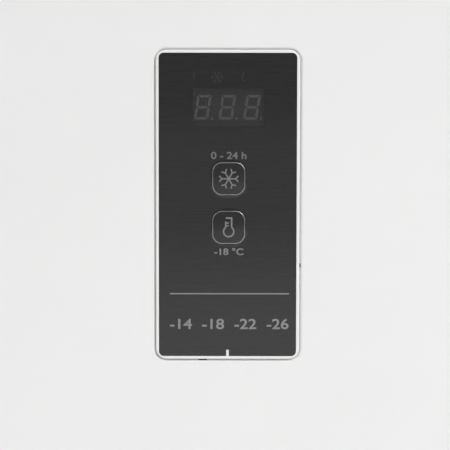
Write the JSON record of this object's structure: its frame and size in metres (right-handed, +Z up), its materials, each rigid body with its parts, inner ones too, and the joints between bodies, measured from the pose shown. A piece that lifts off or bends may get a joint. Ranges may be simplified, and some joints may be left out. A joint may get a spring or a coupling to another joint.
{
  "type": "chest freezer",
  "caption": "White chest freezer with a hinged insulated lid, a hanging basket, a machine compartment and a black front control panel with a digital display and press keys.",
  "frame": {"origin": "middle of the bounding box in X and Y, on the floor under the feet and rollers", "axes": "+Z up, the front with the control panel and handle faces -Y, +X runs along the width to the end with the machine compartment"},
  "size_m": [0.952, 0.6086, 0.85],
  "materials": {
    "white_paint": "satin",
    "galvanised": "satin",
    "zinc": "satin",
    "insulating_foam": "matte",
    "liner_sheet": "satin",
    "white_plastic": "satin",
    "grey_plastic": "satin",
    "black_plastic": "satin",
    "copper": "satin",
    "coil_aluminium": "satin",
    "black_enamel": "satin",
    "grey_rubber": "matte",
    "black_rubber": "matte",
    "white_coated_wire": "gloss",
    "black_faceplate": "satin",
    "smoked_window": "gloss",
    "display_bars": "satin",
    "circuit_board": "satin",
    "spring_steel": "satin"
  },
  "bodies": {
    "cabinet": {"outer_shell": "white_paint", "rear_panel": "galvanised", "base_pan": "galvanised", "foam_insulation": "insulating_foam", "inner_liner": "liner_sheet", "top_rim": "white_plastic", "evaporator_coil": "coil_aluminium", "condenser_coil": "copper", "compressor": "black_enamel", "compressor_feet": "black_enamel", "compressor_grommets": "black_rubber", "compressor_bolts": "zinc", "terminal_cover": "black_plastic", "suction_pipe": "copper", "discharge_pipe": "copper", "filter_drier": "copper", "capillary_tube": "copper", "rear_cover": "grey_plastic", "rear_cover_screws": "zinc", "cord_gland": "black_rubber", "side_vent_grille": "white_plastic", "roller_brackets": "zinc", "roller_axles": "zinc", "roller_rivets": "zinc", "front_feet": "grey_plastic", "drain_tube": "white_plastic", "sensor_cover": "white_plastic", "temperature_sensor": "zinc", "hinge_bases": "zinc", "hinge_pins": "zinc", "hinge_springs": "spring_steel", "hinge_screws": "zinc", "cabinet_backing_plates": "galvanised", "control_frame": "white_plastic", "control_overlay": "black_faceplate", "display_lens": "smoked_window", "display_module": "black_plastic", "display_segments": "display_bars", "key_switches": "black_plastic", "control_board": "circuit_board", "control_screws": "zinc", "control_housing": "black_plastic", "control_cable": "black_rubber"},
    "lid": {"lid_skin": "white_paint", "lid_liner": "white_plastic", "lid_foam": "insulating_foam", "lid_gasket": "grey_rubber", "lid_handle": "white_plastic", "hinge_leaves": "zinc", "lid_screws": "zinc", "lid_backing_plates": "galvanised"},
    "basket": {"wire_basket": "white_coated_wire", "basket_hangers": "white_coated_wire"},
    "fast_freeze_button": {"fast_freeze_button": "black_faceplate"},
    "temperature_button": {"temperature_button": "black_faceplate"},
    "roller_left": {"roller_left": "black_plastic"},
    "roller_right": {"roller_right": "black_plastic"},
    "drain_plug": {"drain_plug": "grey_rubber"},
    "drain_cap": {"drain_cap": "white_plastic"}
  },
  "joints": [
    {"name": "lid_hinge", "type": "hinge", "parent": "cabinet", "child": "lid", "pos_m": [0, 0.28665, 0.804], "axis": [-1, 0, 0], "range_deg": [0, 80], "stiffness_Nm_per_rad": 6, "springref_deg": 80.21, "deforming": ["hinge_springs"]},
    {"name": "fast_freeze_press", "type": "slide", "parent": "cabinet", "child": "fast_freeze_button", "axis": [0, 1, 0], "range_m": [0, 0.0006], "stiffness_N_per_m": 3000},
    {"name": "temperature_press", "type": "slide", "parent": "cabinet", "child": "temperature_button", "axis": [0, 1, 0], "range_m": [0, 0.0006], "stiffness_N_per_m": 3000},
    {"name": "basket_slide", "type": "slide", "parent": "cabinet", "child": "basket", "axis": [-1, 0, 0], "range_m": [0, 0.56]},
    {"name": "roller_left_spin", "type": "hinge", "parent": "cabinet", "child": "roller_left", "pos_m": [-0.3925, 0.21215, 0.015], "axis": [1, 0, 0], "continuous": true},
    {"name": "roller_right_spin", "type": "hinge", "parent": "cabinet", "child": "roller_right", "pos_m": [0.3925, 0.21215, 0.015], "axis": [1, 0, 0], "continuous": true},
    {"name": "drain_plug_pull", "type": "slide", "parent": "cabinet", "child": "drain_plug", "axis": [0, 0, 1], "range_m": [0, 0.04]},
    {"name": "drain_cap_pull", "type": "slide", "parent": "cabinet", "child": "drain_cap", "axis": [0, -1, 0], "range_m": [0, 0.03]}
  ]
}
